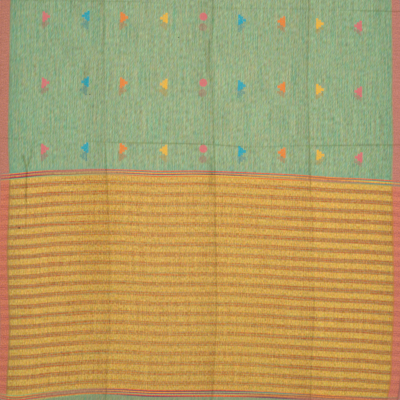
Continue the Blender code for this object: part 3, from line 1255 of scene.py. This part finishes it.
def with_borders(w, body, cloth, colours):
    """The borders, painted shade on the cloth beside them, and the stray threads at their inner
    edges.
    """
    shade_beside_border = w.plus(
        w.times(w.soft_step(cloth.edge, *SHADE_BESIDE_BORDER), SHADE_BESIDE_BORDER_SHARE),
        w.times(w.step(cloth.edge, *DEEPEST_SHADE_BESIDE_BORDER), DEEPEST_SHADE_BESIDE_BORDER_SHARE),
    )
    shade_beside_border = w.times(shade_beside_border, w.from_to(cloth.right, *BORDER_SHADE_LEFT_TO_RIGHT))
    # Painted shade darkens the cloth beside the borders.
    body = w.tinted(body, shade_beside_border, BESIDE_BORDER_SHADE_TINT)
    body = w.mixed(cloth.in_border, body, border_colour(w, cloth, colours))
    strays = w.inside(cloth.edge, *STRAYS_BESIDE)
    strays = w.times(strays, w.from_to(cloth.in_panel, *STRAYS_STRENGTH))
    return w.mixed(strays, body, w.mixed(cloth.right, LEFT_EDGE_THREADS, RIGHT_EDGE_THREADS))


def weave_bump(w, cloth):
    """The relief of the crossing threads, with slubs."""
    slubs = w.streaks(cloth, *SLUBS)
    turn = math.pi / THREAD_PITCH
    over, under = (w.sum("SINE", w.times(way, turn)) for way in (cloth.across, cloth.along))
    height = w.plus(slubs, w.times(w.times(over, under), CROSSINGS_SHARE))
    return w.add("ShaderNodeBump", (("Height", height), *BUMP)).outputs["Normal"]


def linen_material(colours, width):
    """The woven cloth: field, motifs, end panel, borders, bands, knots, and creases with painted
    shade and duller colour.
    """
    material = bpy.data.materials.new("woven linen")
    w = Weave(material)
    cloth = place_on_cloth(w, width)
    field = with_all_motifs(w, field_colour(w, cloth, colours), cloth, width, colours)
    body = w.mixed(cloth.in_panel, field, panel_colour(w, cloth, colours))
    body = with_bands(w, with_borders(w, body, cloth, colours), cloth)
    # Painted shade darkens the cloth along the creases, together with the pressed folds' own duller
    # colour.
    body = w.tinted(body, w.attribute("pressed"), CREASE_SHADE_AND_WEAR_TINT)
    w.finish(with_knots(w, body, cloth), CLOTH_SURFACE)
    w.put(w.surface.inputs["Normal"], weave_bump(w, cloth))
    return material


def add_object(name, data):
    thing = bpy.data.objects.new(name, data)
    bpy.context.scene.collection.objects.link(thing)
    return thing


class SARI_OT_cloth(bpy.types.Operator):
    """Weave and fold the sari"""

    bl_idname = "sari.cloth"
    bl_label = "Folded cloth"

    def execute(self, context):
        sizes = context.scene.sari_sizes
        cloth = add_object("folded_sari", cloth_mesh("folded_sari", sizes))
        linen = linen_material(context.scene.sari_colours, sizes.loom_width / MM)
        cloth.data.materials.append(linen)
        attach(cloth, "root")
        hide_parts("sari_cloth")
        return {"FINISHED"}


def floor_material(colour):
    material = bpy.data.materials.new("studio floor")
    w = Weave(material)
    place = w.add("ShaderNodeTexCoord").outputs["Object"]
    mottle = w.add("ShaderNodeTexNoise", (("Vector", place), *FLOOR_MOTTLING)).outputs["Fac"]
    dark, light = (tuple(c * share for c in colour) for share in (FLOOR_DARKEST, FLOOR_LIGHTEST))
    w.finish(w.mixed(mottle, dark, light), FLOOR_SURFACE)
    return material


def lay_floor(studio):
    half = FLOOR_HALF_WIDTH
    around = ((-half, -half), (half, -half), (half, half), (-half, half))
    corners = [(x, y, FLOOR_LEVEL) for x, y in around]
    floor_mesh = bpy.data.meshes.new("studio_floor")
    floor_mesh.from_pydata(corners, [], [(0, 1, 2, 3)])
    floor_mesh.materials.append(floor_material(tuple(studio.floor_colour)))
    add_object("studio_floor", floor_mesh)


def add_light(name, kind, place, power, colour):
    """A light at a place, aimed at the middle of the cloth."""
    lamp = bpy.data.lights.new(name, kind)
    lamp.energy = power
    lamp.color = colour
    light = add_object(name, lamp)
    light.location = place
    light.rotation_euler = Vector(place).to_track_quat("Z", "Y").to_euler()
    light.visible_camera = False
    return lamp


def hang_lights(studio):
    """A low even light from the left, and a soft one above."""
    low = add_light("low_light", "SUN", LOW_LIGHT_FROM, studio.low_light, LOW_LIGHT_COLOUR)
    low.angle = math.radians(LOW_LIGHT_DEGREES)
    power, colour = studio.overhead_light, OVERHEAD_LIGHT_COLOUR
    overhead = add_light("overhead_light", "AREA", OVERHEAD_LIGHT_AT, power, colour)
    overhead.shape = "DISK"
    overhead.size = OVERHEAD_LIGHT_ACROSS


def studio_world(studio):
    """An even fill light, and a brighter plain backdrop where the world itself is seen."""
    world = bpy.data.worlds.new("studio fill")
    world.use_nodes = True
    nodes, links = world.node_tree.nodes, world.node_tree.links
    background = nodes["Background"]
    background.inputs["Color"].default_value = FILL_COLOUR
    strength = nodes.new("ShaderNodeMapRange")
    strength.inputs["To Min"].default_value = studio.fill_light
    strength.inputs["To Max"].default_value = studio.backdrop
    seen = nodes.new("ShaderNodeLightPath").outputs["Is Camera Ray"]
    links.new(seen, strength.inputs["Value"])
    links.new(strength.outputs["Result"], background.inputs["Strength"])
    return world


def camera_over_cloth(studio):
    """A camera that looks straight down, from where its frame is as wide as asked for."""
    lens = bpy.data.cameras.new("camera over the cloth")
    lens.lens = studio.lens
    camera = add_object("camera", lens)
    away = studio.framed_width / lens.sensor_width * lens.lens
    camera.location = Vector(FRAMED_MIDDLE) + Vector((0.0, 0.0, away))
    return camera


class SARI_OT_stage(bpy.types.Operator):
    """Lay the floor, hang the lights and set up the camera over the cloth"""

    bl_idname = "sari.stage"
    bl_label = "Studio stage"

    def execute(self, context):
        studio = context.scene.sari_studio
        lay_floor(studio)
        hang_lights(studio)
        context.scene.world = studio_world(studio)
        context.scene.camera = camera_over_cloth(studio)
        context.scene.view_settings.view_transform = "Standard"
        return {"FINISHED"}


class SARI_PT_panel(bpy.types.Panel):
    """The sari's pieces, sizes and colours"""

    bl_label = "Folded linen sari"
    bl_idname = "SARI_PT_panel"
    bl_space_type = "VIEW_3D"
    bl_region_type = "UI"
    bl_category = "Sari"

    def draw(self, context):
        layout = self.layout
        for operator in OPERATORS:
            layout.operator(operator.bl_idname)
        for holder, group in GROUPS.items():
            layout.separator()
            for name in group.__annotations__:
                layout.prop(getattr(context.scene, holder), name)


GROUPS = {
    "sari_sizes": SariSizes,
    "sari_colours": SariColours,
    "sari_studio": StudioSettings,
}
OPERATORS = (SARI_OT_cloth, SARI_OT_stage)
CLASSES = (*GROUPS.values(), *OPERATORS, SARI_PT_panel)


def register():
    for thing in CLASSES:
        bpy.utils.register_class(thing)
    for holder, group in GROUPS.items():
        setattr(bpy.types.Scene, holder, PointerProperty(type=group))


def unregister():
    for holder in GROUPS:
        delattr(bpy.types.Scene, holder)
    for thing in reversed(CLASSES):
        bpy.utils.unregister_class(thing)


def main():
    register()
    bpy.ops.sari.cloth()
    bpy.ops.sari.stage()


if __name__ == "__main__":
    main()
